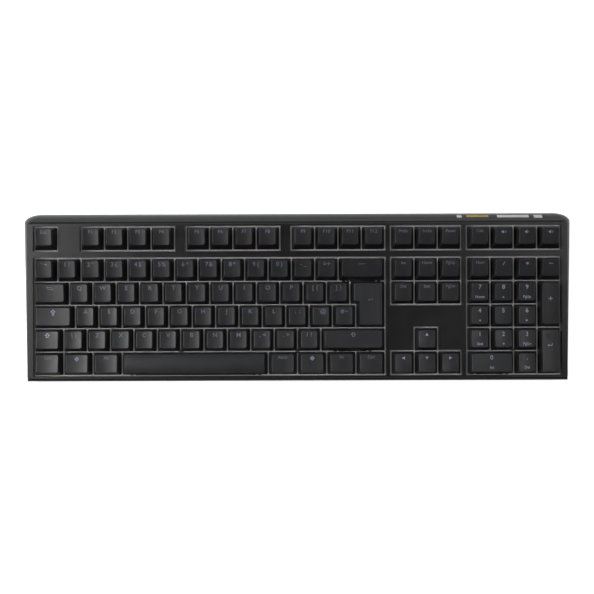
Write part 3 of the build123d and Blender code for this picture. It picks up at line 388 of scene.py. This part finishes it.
# node: its keys as (row, left edge, count, width, depth) spans, and one legend for each key
KEYBOARD = {
    "escape_key": (runs((5, 0, 1)), [word("Esc", FUNCTION)]),
    "function_keys_f1_to_f4": (runs((5, 2, 4)), [word(f"F{i}", FUNCTION) for i in range(1, 5)]),
    "function_keys_f5_to_f8": (runs((5, 6.5, 4)), [word(f"F{i}", FUNCTION) for i in range(5, 9)]),
    "function_keys_f9_to_f12": (runs((5, 11, 4)), [word(f"F{i}", FUNCTION) for i in range(9, 13)]),
    "system_keys": (runs((5, 15.25, 3)), [word("PrtSc"), word("ScrLk"), word("Pause")]),
    "media_keys": (runs((5, 18.5, 4)), media_signs),
    "number_row_keys": (runs((4, 0, 13)), numbers),
    "backspace_key": (runs((4, 13, 1, 2)), [icon(LONG_LEFT)]),
    "tab_key": (runs((3, 0, 1, 1.5)), [icon(TAB)]),
    "top_letter_keys": (runs((3, 1.5, 12)), top_letters),
    "enter_key": (runs((2, 13.75, 1, 1.25, 2)), [icon(RETURN)]),
    "caps_lock_key": (runs((2, 0, 1, 1.75)), [icon(CAPS, 3.6)]),
    "home_letter_keys": (runs((2, 1.75, 12)), home_letters),
    "left_shift_key": (runs((1, 0, 1, 1.25)), [icon(SHIFT, 3.8)]),
    "bottom_letter_keys": (runs((1, 1.25, 11)), bottom_letters),
    "right_shift_key": (runs((1, 12.25, 1, 2.75)), [icon(SHIFT, 3.8)]),
    "left_control_key": (runs((0, 0, 1, 1.25)), [word("Ctrl")]),
    "left_super_key": (runs((0, 1.25, 1, 1.25)), [icon(DIAMOND, 3.8)]),
    "left_alt_key": (runs((0, 2.5, 1, 1.25)), [word("Alt")]),
    "space_bar": (runs((0, 3.75, 1, 6.25)), [[]]),
    "right_alt_key": (runs((0, 10, 1, 1.25)), [word("AltGr")]),
    "right_super_key": (runs((0, 11.25, 1, 1.25)), [icon(DIAMOND, 3.8)]),
    "function_layer_key": (runs((0, 12.5, 1, 1.25)), [word("Fn")]),
    "right_control_key": (runs((0, 13.75, 1, 1.25)), [word("Ctrl")]),
    "navigation_keys": (runs((4, 15.25, 3), (3, 15.25, 3)), navigation),
    "arrow_up_key": (runs((1, 16.25, 1)), [icon(ARROW)]),
    "arrow_left_key": (runs((0, 15.25, 1)), [icon(turned(ARROW, 1))]),
    "arrow_down_key": (runs((0, 16.25, 1)), [icon(turned(ARROW, 2))]),
    "arrow_right_key": (runs((0, 17.25, 1)), [icon(turned(ARROW, 3))]),
    "number_pad_keys": (runs((4, 18.5, 4), (3, 18.5, 3), (2, 18.5, 3), (1, 18.5, 3), (0, 20.5, 1)),
                        number_pad),
    "number_pad_plus_key": (runs((2, 21.5, 1, 1, 2)), [icon(PLUS, 3.2, 4.4 * MM)]),
    "number_pad_enter_key": (runs((0, 21.5, 1, 1, 2)), [icon(RETURN, 3.0, 5 * MM)]),
    "number_pad_zero_key": (runs((0, 18.5, 1, 2)), [over("0", "Ins")]),
}
# keys whose legends let more light through: a lighter legend colour with a stronger painted glow
CLEARER = ("arrow", "left_super", "right_super", "number_pad", "media", "caps", "left_shift")
# wide keys, and how far their stabilizer inserts stand from the middle
INSERT_SPREAD = {node: 11.9 * MM for node in
                 ("backspace_key", "enter_key", "right_shift_key", "number_pad_zero_key",
                  "number_pad_plus_key", "number_pad_enter_key")}
INSERT_SPREAD["space_bar"] = 50 * MM
TALL_KEY = 1.5               # keys deeper than this have their inserts one behind the other
STEM_REACH = 4.5 * MM        # half the square around a stem or insert
SKIRT = 6.15 * MM            # every face below this height belongs to a stem or insert
STEM_TOP = 6.75 * MM         # near a stem, faces up to this height belong to it
ABOVE_KEYS = 40 * MM         # rays that find a surface start here
LEGEND_LIFT = 0.05 * MM
PRINT_LIFT = 0.06 * MM


def new_piece(name, points, faces, material, body, slot_name, smooth=False):
    """A mesh piece riding on a body."""
    mesh = bpy.data.meshes.new(name)
    mesh.from_pydata(points, [], faces)
    mesh.materials.append(material)
    mesh.polygons.foreach_set("use_smooth", [smooth] * len(faces))
    mesh.update()
    piece = bpy.data.objects.new(name, mesh)
    bpy.context.scene.collection.objects.link(piece)
    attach(piece, body)
    return piece


def paint_key(node, keys):
    """Cap faces take the cap plastic; stem and insert faces under them take the stem plastic."""
    mesh = nodes[node].data
    dress(node, CAP, STEM)
    centres = np.empty(len(mesh.polygons) * 3, np.float32)
    mesh.polygons.foreach_get("center", centres)
    offset = centres.reshape(-1, 3) - np.array(deck)
    x = offset[:, 0]
    y = offset @ np.array(rear)
    height = offset @ np.array(up)
    near = np.zeros(len(x), bool)
    spread = INSERT_SPREAD.get(node, 0.0)
    for key_x, key_y, _, depth in keys:
        for side in (-1, 0, 1):
            stem_x = key_x + (0 if depth > TALL_KEY else side * spread)
            stem_y = key_y + (side * spread if depth > TALL_KEY else 0)
            near |= (abs(x - stem_x) < STEM_REACH) & (abs(y - stem_y) < STEM_REACH)
    stem_faces = (height < SKIRT) | ((height < STEM_TOP) & near)
    mesh.polygons.foreach_set("material_index", stem_faces.astype(np.int32))


def faces_of(node):
    """Search tree over the faces of a CAD node."""
    mesh = nodes[node].data
    return BVHTree.FromPolygons([v.co.copy() for v in mesh.vertices],
                                [tuple(p.vertices) for p in mesh.polygons])


def add_legends(node, keys, legends):
    """Lay the legend shapes on the key tops, following their dished surface."""
    tree = faces_of(node)
    points, faces, clear = [], [], []
    for (key_x, key_y, _, _), legend in zip(keys, legends):
        for (shape_points, shape_faces), dx, dy, size in legend:
            base = len(points)
            for px, py in shape_points:
                start = place(key_x + dx + px * size, key_y + dy + py * size, ABOVE_KEYS)
                points.append(tree.ray_cast(start, down)[0] + up * LEGEND_LIFT)
            faces += [tuple(base + i for i in face) for face in shape_faces]
            clear += [node.startswith(CLEARER) and size != SMALL] * len(shape_faces)
    if points:
        piece = new_piece(f"{node}_legends", points, faces, LEGEND, f"{node}_body", "keycap_plastic")
        piece.data.materials.append(CLEAR_LEGEND)
        piece.data.polygons.foreach_set("material_index", clear)


SPRING_LOW = -3.4 * MM       # on the floor of the switch base
SPRING_HIGH = 4.8 * MM       # under the stem at rest


def coils(keys, turns=9, steps=18, sides=6, radius=2.05 * MM, wire=0.15 * MM):
    """Return springs, one under each key, between the base and the stem."""
    low, high = SPRING_LOW, SPRING_HIGH
    points, faces = [], []
    total = turns * steps
    for key_x, key_y, _, _ in keys:
        base = len(points)
        for i in range(total + 1):
            angle = 2 * math.pi * i / steps
            out = Vector((math.cos(angle), math.sin(angle)))
            level = low + wire + (high - low - 2 * wire) * i / total
            for j in range(sides):
                around = 2 * math.pi * j / sides
                reach = radius + wire * math.cos(around)
                points.append(place(key_x + out.x * reach, key_y + out.y * reach,
                                    level + wire * math.sin(around)))
        for i in range(total):
            for j in range(sides):
                a = base + i * sides + j
                b = base + i * sides + (j + 1) % sides
                faces.append((a, b, b + sides, a + sides))
    return points, faces


for node, (keys, legends) in KEYBOARD.items():
    paint_key(node, keys)
    add_legends(node, keys, legends)
    piece = new_piece(f"{node}_springs", *coils(keys), STEEL, "case", "steel", smooth=True)
    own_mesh(piece)
    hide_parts("switch_springs")

# ------------------------------------------------------------ plain print on the rear slope
PRINT_REAR = 69.8 * MM       # the bars share their rear edge
shell_tree = faces_of("outer_shell")


def print_bar(name, x0, x1, y0, material, columns=12, rows=8):
    """Thin printed bar laid on the rear slope, from x0 to x1 and from y0 back, in millimetres."""
    points, faces = [], []
    x0, x1, y0 = x0 * MM, x1 * MM, y0 * MM
    for i in range(columns + 1):
        for j in range(rows + 1):
            start = place(x0 + (x1 - x0) * i / columns, y0 + (PRINT_REAR - y0) * j / rows,
                          ABOVE_KEYS)
            points.append(shell_tree.ray_cast(start, down)[0] + up * PRINT_LIFT)
    for i in range(columns):
        for j in range(rows):
            corner = i * (rows + 1) + j
            faces.append((corner, corner + rows + 1, corner + rows + 2, corner + 1))
    new_piece(name, points, faces, material, "case", "keycap_plastic")


print_bar("print_bar_white", 164, 190, 67.6, PRINT_WHITE)
print_bar("print_bar_end", 194, 201, 67.2, PRINT_WHITE)
print_bar("print_bar_yellow", 139, 157, 68.0, PRINT_YELLOW)
print_bar("print_bar_short", 131, 135, 67.6, PRINT_WHITE)

# ------------------------------------------------------------ floor, light and camera
FLOOR_SIZE = 6
FLOOR_DROP = 0.2 * MM        # keeps the floor clear of the rubber feet
FLOOR_GLOW = 0.9             # as the camera sees it
FLOOR_BOUNCE = 0.05          # what lights the object, so that its dark sides aren't washed out
WALL = 1.0                   # brightness at the horizon
CEILING = 0.04               # and overhead, so that flat black surfaces stay dark
CARD = 0.03                  # a black card in front of the typist's edge
BACKDROP = 0.95              # the camera itself sees a plain pale backdrop

bpy.ops.mesh.primitive_plane_add(size=FLOOR_SIZE, location=(0, 0, -FLOOR_DROP))
floor = bpy.context.object
floor.name = "studio_floor"
floor.data.materials.append(FLOOR)
tree = FLOOR.node_tree
seen = tree.nodes.new("ShaderNodeLightPath").outputs["Is Camera Ray"]
strength = tree.nodes["Principled BSDF"].inputs["Emission Strength"]
tree.links.new(remap(tree, seen, 0, 1, FLOOR_BOUNCE, FLOOR_GLOW), strength)

world = bpy.data.worlds.new("studio")
world.use_nodes = True
tree = world.node_tree
sky = tree.nodes.new("ShaderNodeTexCoord")
split = tree.nodes.new("ShaderNodeSeparateXYZ")
tree.links.new(sky.outputs["Generated"], split.inputs[0])
both = tree.nodes.new("ShaderNodeMath")
both.operation = "MULTIPLY"
tree.links.new(remap(tree, split.outputs["Z"], 0.0, 0.6, WALL, CEILING), both.inputs[0])
tree.links.new(remap(tree, split.outputs["Y"], -0.7, -0.2, CARD, WALL), both.inputs[1])
rays = tree.nodes.new("ShaderNodeLightPath")
backdrop = tree.nodes.new("ShaderNodeMix")
backdrop.inputs[3].default_value = BACKDROP
tree.links.new(rays.outputs["Is Camera Ray"], backdrop.inputs["Factor"])
tree.links.new(both.outputs["Value"], backdrop.inputs[2])
tree.links.new(backdrop.outputs[0], tree.nodes["Background"].inputs["Strength"])
tree.nodes["Background"].inputs["Color"].default_value = (1, 1, 1, 1)
bpy.context.scene.world = world
bpy.context.scene.view_settings.view_transform = "Standard"


def softbox(name, position, target, size, power, spread=180):
    """Square soft light aimed at a point of the deck."""
    light = bpy.data.lights.new(name, "AREA")
    light.size = size
    light.energy = power
    light.spread = math.radians(spread)
    lamp = bpy.data.objects.new(name, light)
    lamp.location = position
    lamp.rotation_euler = (Vector(target) - Vector(position)).to_track_quat("-Z", "Y").to_euler()
    bpy.context.scene.collection.objects.link(lamp)


softbox("softbox_left", (-0.85, 0.05, 0.95), (-0.2, 0, 0), 0.7, 2.0, 70)
softbox("softbox_right", (0.75, 0.25, 1.3), (0.1, 0, 0), 0.8, 3.6)

# straight above the deck and square to it, turned a fifth of a degree
EYE = (-0.25 * MM, 2.95 * MM, 881 * MM)
ROLL = math.radians(-0.2)
camera_data = bpy.data.cameras.new("camera")
camera_data.lens = 65
camera_data.sensor_width = 36
camera = bpy.data.objects.new("camera", camera_data)
bpy.context.scene.collection.objects.link(camera)
aim = Matrix((right, rear, up)).transposed().to_4x4()
camera.matrix_world = Matrix.Translation(place(*EYE)) @ aim @ Matrix.Rotation(ROLL, 4, "Z")
bpy.context.scene.camera = camera
